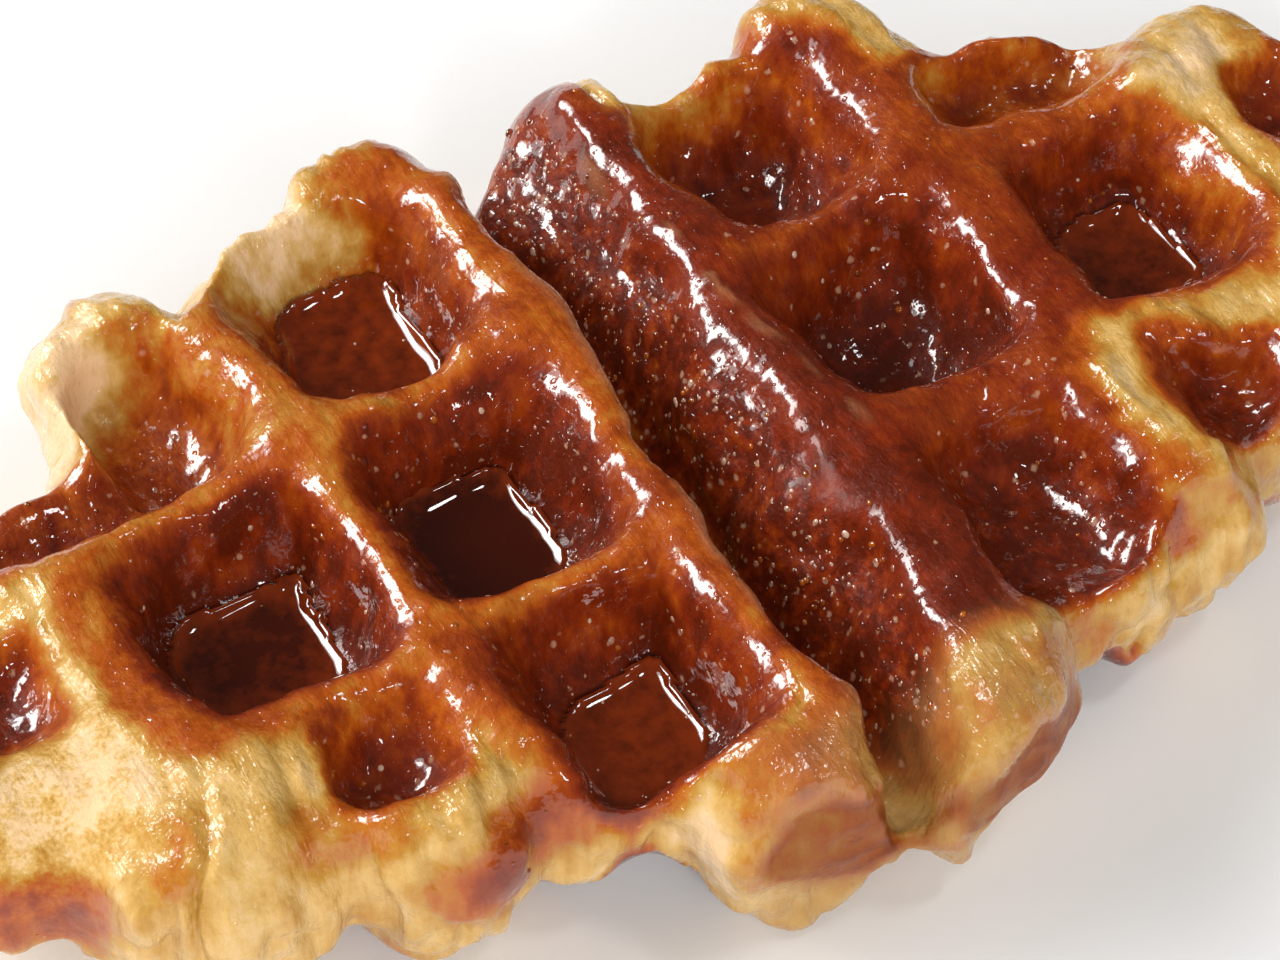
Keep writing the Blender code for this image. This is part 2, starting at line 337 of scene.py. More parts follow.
def seam_fields(points, wander, top):
    """Masks of the toasted band along the seam and of the trench of the fold in it."""
    x, y, height = points.T
    band = rise(SEAM_LEFT - 2, SEAM_LEFT + 2, x + wander) * rise(SEAM_RIGHT + 2, SEAM_RIGHT - 2, x)
    band *= rise(SEAM_NEAR - 3, SEAM_NEAR + 3, y + wander) * rise(SEAM_FAR, SEAM_FAR - 4, y)
    trench = rise(-0.3, 0.8, lip_distance(points)) * rise(TRENCH_RIGHT + 1, TRENCH_RIGHT - 1, x)
    trench *= rise(21.8, 19.0, height) * top * rise(SEAM_NEAR - 7, SEAM_NEAR + 1, y)
    return band, trench


def ridge_bake(points):
    """How dark the ridges are: darkest along the crest and at the near side, paler at the right end."""
    x, y, _ = points.T
    bake = RIDGE_BAKE + 0.1 * rise(-16, -9, x) + 0.12 * rise(0, 6, x) - 0.12 * rise(26, 40, x)
    bake += 0.14 * rise(14, 8, x) * rise(-6, 2, x) + 0.06 * rise(14, -6, y)
    bake += 0.1 * noise(points, 7.0, 7) + 0.08 * rise(24, 28, x) * rise(36, 32, x)
    return bake


def flake_mask(points, toasted):
    """The flaky edge of the fold's left lip, and that of the crust right of the crest."""
    x, y, height = points.T
    lip_edge = np.abs(lip_distance(points) - 0.25 + 0.3 * noise(points, 4.0, 35))
    flake = rise(0.75, 0.3, lip_edge) * rise(18.8, 20.0, height)
    crust_edge = np.abs(x - 8.2 + 0.104 * y + 0.7 * noise(points, 6.0, 36))
    flake += 0.9 * rise(0.6, 0.25, crust_edge) * rise(18.5, 20.5, height) * rise(-12, -8, y)
    return np.clip(flake * rise(-0.35, 0.1, noise(points, 3.5, 37)) * toasted, 0, 1)


def crust_fields(points):
    """The crust's bake, glaze and masks of places at each point, from 0 to 1, and the ends' rings."""
    x, y, height = points.T
    top = rise(8.0, 12.0, height)
    # Keeps the edges of the bake from running straight, and streaks it down the pockets' walls
    wander = 1.4 * noise(points, 6.0, 3) + 0.8 * noise(points, 2.6, 4) + 0.4 * noise(points, 1.3, 32)
    streaks = noise(points, (1.5, 1.5, 7.0), 33) + 0.8 * noise(points, 2.8, 34)
    inside, depth, darkest = pocket_fields(points, wander)
    toasted, trench = seam_fields(points, wander, top)
    for zone in ZONES + CROSSINGS:
        toasted = np.maximum(toasted, rise(-1.8, 2.0, zone_depth(points, zone) + wander))

    # Bake: pale dough, browned where the plates pressed it, then the pockets, the fold and the cream side
    pressed = np.maximum(rise(11.0, 17.5, height + wander), inside)
    under = rise(7.0, 3.0, height + wander)
    pale = PALE_BAKE + 0.06 * noise(points, 3.0, 6) + 0.22 * rise(0.1, 0.7, noise(points, 6.0, 5))
    bake = pale + (ridge_bake(points) - pale) * toasted * np.maximum(pressed, 0.75 * under)
    bake += (darkest - bake) * inside * (0.7 + 0.3 * rise(0.0, 0.35, depth + 0.16 * streaks))
    bake += POCKET_BOTTOM_BAKE * inside * rise(0.45, 0.9, depth)
    bake += (TRENCH_BAKE + 0.08 * noise(points, 2.2, 8) - bake) * trench
    bulge = np.clip(FULL_SPOT * spot(points, *CREAM_BULGE), 0, 1) * (1 - toasted)
    bake *= 1 - bulge
    for middle, size, change in TOAST_SPOTS:
        bake += change * spot(points + 0.5 * wander[:, None], middle, size)
    face, rim, rings = roll_ends(points)
    bake += (ROLL_END_BAKE + 0.14 * noise(points, 4.0, 9) + 0.07 * rings - bake) * face
    bake += (ROLL_RIM_BAKE - bake) * 0.6 * rim
    bake = np.clip(bake, 0.0, 1.0)

    # Glaze: thinner on pale dough, on the ends and on flakes, and brushed off part of the crest
    flake = flake_mask(points, toasted)
    glaze = 0.8 + 0.2 * rise(0.12, 0.4, bake)
    glaze = glaze * (1 - 0.95 * bulge) * (1 - 0.7 * face) * (1 - 0.6 * flake)
    thin = np.clip(FULL_SPOT * spot(points, *THIN_GLAZE), 0, 1)
    glaze *= 1 - 0.95 * thin * rise(-0.6, 0.0, noise(points, 3.5, 43))
    # The lobes of the roll's ends, which the material greys towards tan: partly their colour, partly painted
    # sheen
    lobes = rise(-29, -35, y) * rise(-19, -14, x) * rise(17, 11, x)
    return {
        "bake": bake,
        "glaze": np.clip(glaze, 0, 1),
        "trench": trench,
        "pocket": inside * top,
        "face": face,
        "lobe": (0.7 + 0.3 * noise(points, 2.5, 44)) * lobes * (1 - face),
        "bulge": bulge,
        "rings": rings,
        "flake": flake,
        "crease": crease_depth(points),
    }


# The fields that the crust's material reads
MATERIAL_FIELDS = ("bake", "glaze", "trench", "pocket", "face", "lobe", "bulge", "flake")


def relief(points, fields, looks):
    """How far each point of the crust moves out along its normal, in millimetres."""
    dough = looks.dough_relief / MM
    strand = looks.strand_relief / MM
    pale = rise(0.45, 0.25, fields["bake"]) * (1 - fields["pocket"])
    # Soft lumps of the dough, then the grain, strands and folds of its pale sides
    lumps = 1.6 * noise(points, 9.0, 10) + 1.6 * noise(points, 4.5, 11) + 0.8 * noise(points, 2.3, 12)
    out = dough * lumps + 0.12 * noise(points, 1.3, 13) * pale
    strands = noise(points, (1.7, 9.0, 7.0), 14) + 0.6 * noise(points, (1.2, 7.0, 5.0), 15)
    folds = rise(0.22, 0.0, np.abs(noise(points, (5.0, 12.0, 9.0), 19)))
    out += (strand * strands - 0.5 * folds) * pale * (1 - 0.8 * fields["bulge"])
    # Streaks down the pockets' walls, wrinkles in the fold, lifted flakes and the fold at the cream side
    out += 0.2 * noise(points, (1.3, 1.3, 8.0), 16) * fields["pocket"]
    out += (0.2 * noise(points, (5.0, 1.7, 5.0), 17) + 0.14 * noise(points, 1.4, 18)) * fields["trench"]
    out += 0.3 * fields["flake"] - 0.8 * fields["crease"]
    # The flat ends lie a little deeper, with rings
    return out * (1 - 0.4 * fields["face"]) - 0.5 * fields["face"] + 0.12 * fields["rings"]


def warp(points):
    """How far the dough's rise pulled each point aside, in millimetres, so that no two pockets are alike."""
    pull = [1.3 * noise(points, 9.0, seed) + 0.45 * noise(points, 4.0, seed + 2) for seed in (41, 42)]
    pull.append(np.zeros(len(points)))
    return np.stack(pull, axis=1) * rise(2.0, 12.0, points[:, 2])[:, None]


# Meshes


def read_vectors(source, key):
    """The vectors that a mesh keeps under a name, as an array."""
    flat = np.empty(len(source) * 3, np.float32)
    source.foreach_get(key, flat)
    return flat.reshape(-1, 3).astype(float)


def mesh_points(mesh):
    """A mesh's points as an array in millimetres."""
    return read_vectors(mesh.vertices, "co") / MM


def mesh_normals(mesh):
    """A mesh's point normals as an array."""
    return read_vectors(mesh.vertex_normals, "vector")


def set_points(mesh, points):
    """Moves a mesh's points to an array in millimetres."""
    mesh.vertices.foreach_set("co", (points * MM).astype(np.float32).ravel())
    mesh.update()


def relaxed(values, edges, rounds):
    """Values averaged with those of the neighbours along a mesh's edges, a few rounds."""
    count = len(values)
    ends = np.concatenate([edges, edges[:, ::-1]])
    neighbours = np.bincount(ends[:, 0], minlength=count)[:, None]
    for _ in range(rounds):
        total = [np.bincount(ends[:, 0], values[ends[:, 1], axis], count) for axis in range(3)]
        values = 0.5 * values + 0.5 * np.stack(total, axis=1) / neighbours
    return values


def without_facets(mesh, rounds, sharpness):
    """Takes the facets off a fine mesh's form and gives back a share of what its edges lose."""
    edges = np.empty(len(mesh.edges) * 2, np.int32)
    mesh.edges.foreach_get("vertices", edges)
    edges = edges.reshape(-1, 2)
    points = mesh_points(mesh)
    smooth = relaxed(points, edges, rounds)
    set_points(mesh, smooth + sharpness * relaxed(points - smooth, edges, 2 * rounds))


def triangle_count(mesh):
    """How many triangles the mesh's faces make."""
    return sum(len(face.vertices) - 2 for face in mesh.polygons)


def add_field(mesh, name, values):
    """Stores one number per point under a name that a material can read."""
    attribute = mesh.attributes.new(name, "FLOAT", "POINT")
    attribute.data.foreach_set("value", np.asarray(values, np.float32))


def add_object(name, data):
    """A new object with its data, linked to the scene."""
    added = bpy.data.objects.new(name, data)
    bpy.context.scene.collection.objects.link(added)
    return added


def baked_mesh(source, name, modifiers, group=()):
    """A new mesh: the source with modifiers applied, each a type and its settings.

    The group's points go into a vertex group named chosen, which the modifiers may use.
    """
    helper = add_object(name + " form", source)
    if len(group):
        helper.vertex_groups.new(name="chosen").add(group, 1.0, "REPLACE")
    for kind, settings in modifiers:
        modifier = helper.modifiers.new(kind.lower(), kind)
        for key, value in settings.items():
            setattr(modifier, key, value)
    graph = bpy.context.evaluated_depsgraph_get()
    mesh = bpy.data.meshes.new_from_object(helper.evaluated_get(graph), depsgraph=graph)
    mesh.name = name
    bpy.data.objects.remove(helper)
    return mesh


def add_piece(name, mesh, material):
    """Links a mesh as a finished piece that rides on the croffle."""
    piece = add_object(name, mesh)
    mesh.materials.clear()
    mesh.materials.append(material)
    mesh.polygons.foreach_set("use_smooth", np.ones(len(mesh.polygons), bool))
    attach(piece, BODY)
    return piece


# Materials

MATH = "ShaderNodeMath"
NOISE = "ShaderNodeTexNoise"
RANGE = "ShaderNodeMapRange"
RAMP = "ShaderNodeValToRGB"
BUMP = "ShaderNodeBump"
MIX = "ShaderNodeMix"
COORDINATES = "ShaderNodeTexCoord"
ATTRIBUTE = "ShaderNodeAttribute"
SHADER = "ShaderNodeBsdfPrincipled"
OUTPUT = "ShaderNodeOutputMaterial"
# The mix node's sockets when it mixes colours
SHARE, FIRST, SECOND, MIXED = 0, 6, 7, 2


def add_node(tree, kind, inputs=(), stops=(), **settings):
    """Adds a node with its settings and links.

    Inputs are in the order of its sockets or under their names, and each is a value, an output, or
    a node for its first output. Stops are a colour ramp's, each a place and a colour.
    """
    node = tree.nodes.new(kind)
    for key, value in settings.items():
        setattr(node, key, value)
    for key, value in inputs.items() if isinstance(inputs, dict) else enumerate(inputs):
        if isinstance(value, bpy.types.Node):
            value = value.outputs[0]
        if isinstance(value, bpy.types.NodeSocket):
            tree.links.new(value, node.inputs[key])
        else:
            node.inputs[key].default_value = value
    # A new ramp has two stops
    for _ in stops[2:]:
        node.color_ramp.elements.new(0.5)
    for index, (place, colour) in enumerate(stops):
        node.color_ramp.elements[index].position = place
        node.color_ramp.elements[index].color = colour
    return node


def new_material(name):
    """An empty material and its node tree."""
    material = bpy.data.materials.new(name)
    material.use_nodes = True
    material.node_tree.nodes.clear()
    return material, material.node_tree


def per_mm(size):
    """The noise scale whose features are about size millimetres wide in object space."""
    return 1 / (size * MM)


# The crust's patterns: stretch along X, Y and Z, width of their features in mm, detail, roughness, distortion
CRUST_PATTERNS = {
    "blotches": ((1.0, 1.0, 1.0), 3.0, 3.0, 0.5, 0.0),
    "fibres": ((1.0, 1.0, 0.14), 0.95, 3.0, 0.5, 0.0),
    "layers": ((1.0, 0.16, 0.4), 1.1, 3.0, 0.55, 0.6),
    "grain": ((1.0, 1.0, 1.0), 0.4, 2.0, 0.6, 0.0),
    "mottle": ((1.0, 1.0, 1.0), 1.3, 3.0, 0.6, 0.0),
    "swells": ((1.0, 1.0, 1.0), 2.6, 1.0, 0.55, 0.0),
    "ripples": ((1.0, 1.0, 1.0), 0.9, 1.0, 0.5, 0.4),
}
# Dough with a tint: its field, how strong the tint is, and its colour. The lobes' greyed tan is partly
# their own colour and partly painted sheen, the paling their many glints give; the others are their own.
CRUST_TINTS = (("lobe", 0.6, "#A47A48"), ("face", 0.55, "#6A3B1B"), ("flake", 0.45, "#B47C54"))
SUGAR_FLECK = "#CFA281"
# The share of pattern cells with a pale fleck: on all the crust, more in pockets and most in the fold
FLECKS, POCKET_FLECKS, TRENCH_FLECKS = 0.02, 0.12, 0.4
# How far the patterns of spots are bent, in metres
SWAY = 0.0006
# The darkest place on the colour ramp that the crust reaches
DARKEST_SHADE = 0.92


def add_spots(tree, place, size, share, radius):
    """Uneven round spots in a share of a random pattern's cells: 1 in their middle, 0 outside them."""
    cells = add_node(tree, "ShaderNodeTexVoronoi", {"Vector": place, "Scale": per_mm(size)})
    chance = add_node(tree, "ShaderNodeSeparateColor", {"Color": cells.outputs["Color"]})
    uneven = (chance.outputs["Green"], radius, 0.5 * radius)
    reach = add_node(tree, MATH, uneven, operation="MULTIPLY_ADD")
    out = add_node(tree, MATH, (cells.outputs["Distance"], reach), operation="DIVIDE")
    square = add_node(tree, MATH, (out, out), operation="MULTIPLY")
    dome = add_node(tree, MATH, (1.0, square), operation="SUBTRACT")
    dome = add_node(tree, MATH, (dome, 0.0), operation="MAXIMUM")
    chosen = add_node(tree, MATH, (chance.outputs["Red"], share), operation="LESS_THAN")
    return add_node(tree, MATH, (dome, chosen), operation="MULTIPLY")


def weighted_sum(tree, total, terms):
    """A starting value plus each term times its weight, all of them numbers, outputs or nodes."""
    for value, weight in terms:
        total = add_node(tree, MATH, (value, weight, total), operation="MULTIPLY_ADD")
    return total


def add_flecks(tree, swayed, field):
    """Pale bubbles and sugar caught in the glaze, as a share of their colour."""
    terms = ((field["pocket"], POCKET_FLECKS), (field["trench"], TRENCH_FLECKS))
    wanted = weighted_sum(tree, FLECKS, terms)
    wanted = add_node(tree, MATH, (wanted, field["glaze"]), operation="MULTIPLY")
    fleck = add_spots(tree, swayed, 0.9, wanted, 0.3)
    return add_node(tree, RANGE, {"Value": fleck, "From Max": 0.9, "To Max": 0.55})


def crust_colour(tree, looks, field, wave, fleck):
    """The crust's colour: how far dough and sugar browned, with fibres, blotches, tints and flecks."""
    weights = (("blotches", 0.8), ("fibres", 0.5), ("layers", 0.3), ("grain", 0.1))
    uneven = weighted_sum(tree, -0.85, [(wave[name], weight) for name, weight in weights])
    spread = {"Value": field["bake"], "From Min": 0.1, "From Max": 0.5, "To Min": 0.42, "To Max": 0.5}
    spread = weighted_sum(tree, add_node(tree, RANGE, spread), [(field["pocket"], 0.3)])
    # Toasted freckles on the cream side, and golden and dark patches in the fold
    freckle = weighted_sum(tree, -0.9, [(wave["grain"], 1.0), (wave["blotches"], 1.0)])
    freckle = add_node(tree, MATH, (freckle, field["bulge"]), operation="MULTIPLY")
    patch = weighted_sum(tree, -0.52, [(wave["mottle"], 1.0)])
    terms = ((uneven, spread), (freckle, 0.5), (patch, field["trench"]))
    shade = weighted_sum(tree, field["bake"], terms)
    shade = add_node(tree, MATH, (shade, DARKEST_SHADE), operation="MINIMUM")
    stops = (
        (0.0, looks.cream),
        (0.14, linear("#D2A963")),
        (0.27, looks.golden),
        (0.39, linear("#B26B20")),
        (0.51, looks.amber),
        (0.63, linear("#8E3707")),
        (0.78, looks.caramel),
        (1.0, looks.dark),
    )
    colour = add_node(tree, RAMP, (shade,), stops).outputs["Color"]
    # The lobes' tan tint is partly painted sheen; the face's, the flakes' and the sugar's colours are their
    # own
    tints = [(weighted_sum(tree, 0.0, [(field[name], most)]), tint) for name, most, tint in CRUST_TINTS]
    for share, tint in (*tints, (fleck, SUGAR_FLECK)):
        mix = add_node(tree, MIX, {SHARE: share, FIRST: colour, SECOND: linear(tint)}, data_type="RGBA")
        colour = mix.outputs[MIXED]
    return colour


def crust_bumps(tree, field, wave, fleck, bubbles):
    """Bumps in millimetres: of the dough's fibres, and of the wet film that rounds them off."""
    terms = ((wave["grain"], 0.08), (wave["fibres"], 0.22), (wave["layers"], 0.16))
    height = weighted_sum(tree, 0.0, terms)
    # The film is thinner on pale dough and on the lobes, so that their fibres show through it
    strands = {"Value": field["bake"], "From Min": 0.2, "From Max": 0.5, "To Min": 0.4, "To Max": 0.03}
    strands = weighted_sum(tree, add_node(tree, RANGE, strands), [(field["lobe"], 0.35)])
    terms = (
        (wave["ripples"], 0.05),
        (wave["swells"], 0.45),
        (bubbles, 0.065),
        (fleck, 0.08),
        (wave["layers"], strands),
        (wave["fibres"], strands),
    )
    film = weighted_sum(tree, 0.0, terms)
    skin = add_node(tree, BUMP, {"Height": height, "Strength": 1.0, "Distance": MM})
    wet = add_node(tree, BUMP, {"Height": film, "Strength": 1.0, "Distance": MM})
    return skin, wet


def crust_material(looks):
    """Croissant dough, laminated and baked, under a brushed sugar glaze."""
    # The dough gives the eye fibres and blotches from cream to dark caramel.
    # The glaze gives it a glassy film that holds bubbles and sugar.
    material, tree = new_material("sugar glazed croissant crust")
    place = add_node(tree, COORDINATES).outputs["Object"]
    field = {}
    for name in MATERIAL_FIELDS:
        field[name] = add_node(tree, ATTRIBUTE, attribute_name=name).outputs["Fac"]
    wave = {}
    for name, (stretch, size, detail, rough, bend) in CRUST_PATTERNS.items():
        stretched = add_node(tree, "ShaderNodeMapping", {"Vector": place, "Scale": stretch})
        inputs = {"Vector": stretched, "Scale": per_mm(size), "Detail": detail}
        inputs.update({"Roughness": rough, "Distortion": bend})
        wave[name] = add_node(tree, NOISE, inputs)
    sway = add_node(tree, NOISE, {"Vector": place, "Scale": per_mm(0.7), "Detail": 1.0})
    sway = (sway.outputs["Color"], (SWAY,) * 3)
    sway = add_node(tree, "ShaderNodeVectorMath", sway, operation="MULTIPLY")
    swayed = add_node(tree, "ShaderNodeVectorMath", (place, sway), operation="ADD")
    fleck = add_flecks(tree, swayed, field)
    bubbles = add_spots(tree, swayed, 0.6, 0.5, 0.34)
    skin, wet = crust_bumps(tree, field, wave, fleck, bubbles)
    settings = {
        "Base Color": crust_colour(tree, looks, field, wave, fleck),
        "Roughness": add_node(tree, RANGE, {"Value": field["bulge"], "To Min": 0.5, "To Max": 0.65}),
        "IOR": 1.45,
        "Specular IOR Level": 0.12,
        "Subsurface Weight": 0.12,
        "Subsurface Radius": (1.0, 0.45, 0.18),
        "Subsurface Scale": 1.2 * MM,
        "Coat Weight": field["glaze"],
        "Coat Roughness": 0.05,
        "Coat IOR": 1.5,
        "Normal": skin,
        "Coat Normal": wet,
    }
    add_node(tree, OUTPUT, {"Surface": add_node(tree, SHADER, settings)})
    return material


def syrup_material(looks):
    """Caramelised sugar syrup, poured and set."""
    # It gives the eye a glassy level surface, dark and cloudy where deep and red-amber at its shore
    material, tree = new_material("caramel sugar syrup")
    place = add_node(tree, COORDINATES).outputs["Object"]
    depth = add_node(tree, ATTRIBUTE, attribute_name="depth").outputs["Fac"]
    cloud = {"Vector": place, "Scale": per_mm(1.6), "Detail": 4.0, "Roughness": 0.6}
    cloud = add_node(tree, NOISE, cloud)
    shade = weighted_sum(tree, -0.6, ((depth, 1.0), (cloud, 1.5)))
    ramp = add_node(tree, RAMP, (shade,), ((0.05, looks.shallow), (0.85, looks.deep)))
    swell = add_node(tree, NOISE, {"Vector": place, "Scale": per_mm(3.5), "Detail": 1.0})
    surface = add_node(tree, BUMP, {"Height": swell, "Strength": 0.15, "Distance": 0.3 * MM})
    settings = {
        "Base Color": ramp,
        "Roughness": 0.05,
        "IOR": 1.49,
        "Coat Weight": 0.6,
        "Coat Roughness": 0.03,
        "Coat IOR": 1.49,
        "Normal": surface,
        "Coat Normal": surface,
    }
    add_node(tree, OUTPUT, {"Surface": add_node(tree, SHADER, settings)})
    return material


def clouded_material(name, size, colours, settings):
    """A substance whose colour drifts between two in clouds of a size; settings are its shader's."""
    material, tree = new_material(name)
    place = add_node(tree, COORDINATES).outputs["Object"]
    cloud = add_node(tree, NOISE, {"Vector": place, "Scale": per_mm(size)})
    ramp = add_node(tree, RAMP, (cloud,), ((0.35, linear(colours[0])), (0.65, linear(colours[1]))))
    shader = add_node(tree, SHADER, {"Base Color": ramp, **settings})
    add_node(tree, OUTPUT, {"Surface": shader})
    return material


def bead_material():
    """Bubbles of clear amber glaze, set hard."""
    # They give the eye the crust's brown and one sharp glint each
    settings = {"Roughness": 0.06, "IOR": 1.49, "Coat Weight": 1.0, "Coat Roughness": 0.03}
    return clouded_material("set amber glaze", 2.0, ("#6A2606", "#A9540F"), settings)


def sugar_material():
    """Undissolved sugar, caught in the glaze as it set."""
    # It gives the eye small milky crystals, wet on top
    settings = {
        "Roughness": 0.25,
        "IOR": 1.53,
        "Subsurface Weight": 0.3,
        "Subsurface Scale": 0.5 * MM,
        "Coat Weight": 1.0,
        "Coat Roughness": 0.05,
    }
    return clouded_material("milky sugar crystals", 1.2, ("#8E5236", "#CFAE97"), settings)


def paper_material():
    """White studio paper, pressed and uncoated."""
    # It gives the eye soft shadows and no glint
    material, tree = new_material("white studio paper")
    shader = add_node(tree, SHADER, {"Base Color": linear("#F7F7F6"), "Roughness": 0.9})
    add_node(tree, OUTPUT, {"Surface": shader})
    return material


# Pieces

# Pools of syrup: their pocket's place in POCKETS, the height of their surface and how dark they are
POOLS = ((5, 14.2, 0.3), (6, 13.6, 1.0), (7, 12.7, 0.35), (3, 13.6, 0.85), (12, 13.5, 0.8))
# How far past its pocket's sides a pool is looked for, and how far it sinks at a time until it holds
POOL_MARGIN = 1.0
LEVEL_STEP = 0.2
# Grid steps that a pool reaches past its shore, so that its edge is hidden in the wall, and how deep
HIDDEN_STEPS = 3
HIDDEN_DEPTH = 0.1
# Height of a wall that a pool climbs in full, and depth at which syrup is darkest
FULL_WALL = 2.5
FULL_DEPTH = 2.5
# Rounds that even out the climb along the shore, and grid places measured at a time
CLIMB_ROUNDS = 9
BATCH = 400
# Height from which a pool's floor is measured downwards, and the height where there is none
LOOKOUT = TOP_PLANE + 10
NO_FLOOR = -99.0


def crust_tree():
    """The crust as a search tree for rays and nearest points, in millimetres."""
    mesh = bpy.data.objects["crust"].data
    points = mesh_points(mesh)
    corners = np.empty(len(mesh.loops), np.int32)
    mesh.loops.foreach_get("vertex_index", corners)
    faces = [tuple(corners[p.loop_start : p.loop_start + p.loop_total]) for p in mesh.polygons]
    return BVHTree.FromPolygons([Vector(p) for p in points], faces)


def floor_heights(tree, xs, ys):
    """The crust's height under a grid of points, looking down from above; very low where there is none."""
    heights = np.full((len(xs), len(ys)), NO_FLOOR)
    down = Vector((0, 0, -1))
    for i, x in enumerate(xs):
        for j, y in enumerate(ys):
            hit = tree.ray_cast(Vector((x, y, LOOKOUT)), down)[0]
            if hit:
                heights[i, j] = hit.z
    return heights


def grown(cells, combine):
    """A grid in which each cell is combined with its four neighbours."""
    wider = cells.copy()
    wider[1:] = combine(wider[1:], cells[:-1])
    wider[:-1] = combine(wider[:-1], cells[1:])
    wider[:, 1:] = combine(wider[:, 1:], cells[:, :-1])
    wider[:, :-1] = combine(wider[:, :-1], cells[:, 1:])
    return wider


def lowest_cell(floor):
    """The lowest cell in the middle third of a grid of heights."""
    middle = tuple(slice(size // 3, -(size // 3)) for size in floor.shape)
    lowest = np.unravel_index(np.argmin(floor[middle]), floor[middle].shape)
    return tuple(cell + part.start for cell, part in zip(lowest, middle))


def flooded(open_cells, start):
    """The open cells that join up with the start."""
    reached = np.zeros_like(open_cells)
    reached[start] = True
    while True:
        wider = grown(reached, np.logical_or) & open_cells
        if (wider == reached).all():
            return reached
        reached = wider


def spills(wet):
    """Whether a pool reaches the edge of its grid, so that it would run out of its pocket."""
    return bool(wet[0].any() or wet[-1].any() or wet[:, 0].any() or wet[:, -1].any())


def shore_distance(grid, wet):
    """How far each place of a grid lies from the nearest dry one."""
    places = grid.reshape(-1, 2)
    dry = grid[~wet]
    shore = np.empty(len(places))
    for start in range(0, len(places), BATCH):
        gaps = places[start : start + BATCH, None, :] - dry[None, :, :]
        shore[start : start + BATCH] = np.sqrt((gaps**2).sum(axis=2).min(axis=1))
    return shore.reshape(wet.shape)


def pool_part(tree, pocket, level, looks):
    """One pool: points, faces and depths of a level surface that curls up where it meets a steep wall."""
    step = looks.step / MM
    x, y, width, length, _ = pocket
    xs = np.arange(x - width / 2 - POOL_MARGIN, x + width / 2 + POOL_MARGIN, step)
    ys = np.arange(y - length / 2 - POOL_MARGIN, y + length / 2 + POOL_MARGIN, step)
    floor = floor_heights(tree, xs, ys)
    start = lowest_cell(floor)
    wet = flooded(floor < level, start)
    while spills(wet):
        level -= LEVEL_STEP
        wet = flooded(floor < level, start)
    keep = wet
    wall = floor
    for _ in range(HIDDEN_STEPS):
        keep = grown(keep, np.logical_or)
        wall = grown(wall, np.maximum)
    steep = np.clip((wall - level) / FULL_WALL, 0, 1)
    for _ in range(CLIMB_ROUNDS):
        steep = grown(steep, lambda one, two: 0.5 * (one + two))
    grid = np.stack(np.meshgrid(xs, ys, indexing="ij"), axis=-1)
    curl = np.exp(-shore_distance(grid, wet) / (looks.reach / MM))
    height = level + looks.meniscus / MM * steep * curl
    height = np.where(wet, height, np.minimum(height, floor - HIDDEN_DEPTH))
    points = np.concatenate([grid[keep], height[keep][:, None]], axis=1)
    depth = np.clip((level - floor[keep]) / FULL_DEPTH, 0, 1)
    index = np.full(floor.shape, -1)
    index[keep] = np.arange(keep.sum())
    corners = (index[:-1, :-1], index[1:, :-1], index[1:, 1:], index[:-1, 1:])
    whole = np.min(corners, axis=0) >= 0
    faces = np.stack([corner[whole] for corner in corners], axis=1)
    return points, faces, depth


def joined(parts):
    """Points and faces of several parts as one."""
    start = np.cumsum([0] + [len(part[0]) for part in parts[:-1]])
    points = np.concatenate([part[0] for part in parts])
    faces = np.concatenate([part[1] + first for part, first in zip(parts, start)])
    return points, faces


def new_mesh(name, points, faces):
    """A mesh from arrays of points in millimetres and faces."""
    mesh = bpy.data.meshes.new(name)
    mesh.from_pydata((points * MM).tolist(), [], faces.tolist())
    mesh.update()
    return mesh


def ball(rounds):
    """Points and triangles of a unit ball."""
    form = bmesh.new()
    bmesh.ops.create_icosphere(form, subdivisions=rounds, radius=1.0)
    points = np.array([v.co[:] for v in form.verts])
    faces = np.array([[v.index for v in f.verts] for f in form.faces])
    form.free()
    return points, faces


def scattered(piece, weights, count, seed):
    """Places and normals on a piece, drawn by face area times a weight per point, and the random source."""
    random = np.random.default_rng(seed)
    mesh = piece.data
    mesh.calc_loop_triangles()
    corners = np.empty(len(mesh.loop_triangles) * 3, np.int32)
    mesh.loop_triangles.foreach_get("vertices", corners)
    corners = corners.reshape(-1, 3)
    points = mesh_points(mesh)
    normals = mesh_normals(mesh)
    a, b, c = points[corners[:, 0]], points[corners[:, 1]], points[corners[:, 2]]
    area = np.linalg.norm(np.cross(b - a, c - a), axis=1)
    share = area * weights[corners].mean(axis=1)
    chosen = random.choice(len(corners), count, p=share / share.sum())
    mix = random.dirichlet((1, 1, 1), count)[:, :, None]
    places = (points[corners[chosen]] * mix).sum(axis=1)
    facing = (normals[corners[chosen]] * mix).sum(axis=1)
    return places, facing / np.linalg.norm(facing, axis=1)[:, None], random


# Random turn of a blob in radians, its stretch along and across, and the rounds that divide its ball
BLOB_TURN = (0, 6.28)
BLOB_LENGTH = (0.75, 1.3)
BLOB_WIDTH = (0.75, 1.1)
BALL_ROUNDS = 2


def blobs(piece, weights, count, kind):
    """Small uneven balls of a kind, set into a piece's surface by a weight per point, as points and faces."""
    (least, most), power, flatness, sink, seed = kind
    places, facing, random = scattered(piece, weights, count, seed)
    sizes = least + (most - least) * random.random(count) ** power
    form, form_faces = ball(BALL_ROUNDS)
    parts = []
    for place, normal, size in zip(places, facing, sizes):
        turn = Vector(normal).to_track_quat("Z", "Y").to_matrix()
        turn = turn @ Matrix.Rotation(random.uniform(*BLOB_TURN), 3, "Z")
        stretch = np.array([random.uniform(*BLOB_LENGTH), random.uniform(*BLOB_WIDTH), flatness]) * size
        points = (form * stretch) @ np.array(turn).T + place + normal * size * sink
        parts.append((points, form_faces))
    return joined(parts)


# Points nearer than this, in metres, are one point of the solid
WELD_GAP = 1e-6
# Height over which the relief fades out towards what the croffle stands on
FADE_HEIGHT = 1.5


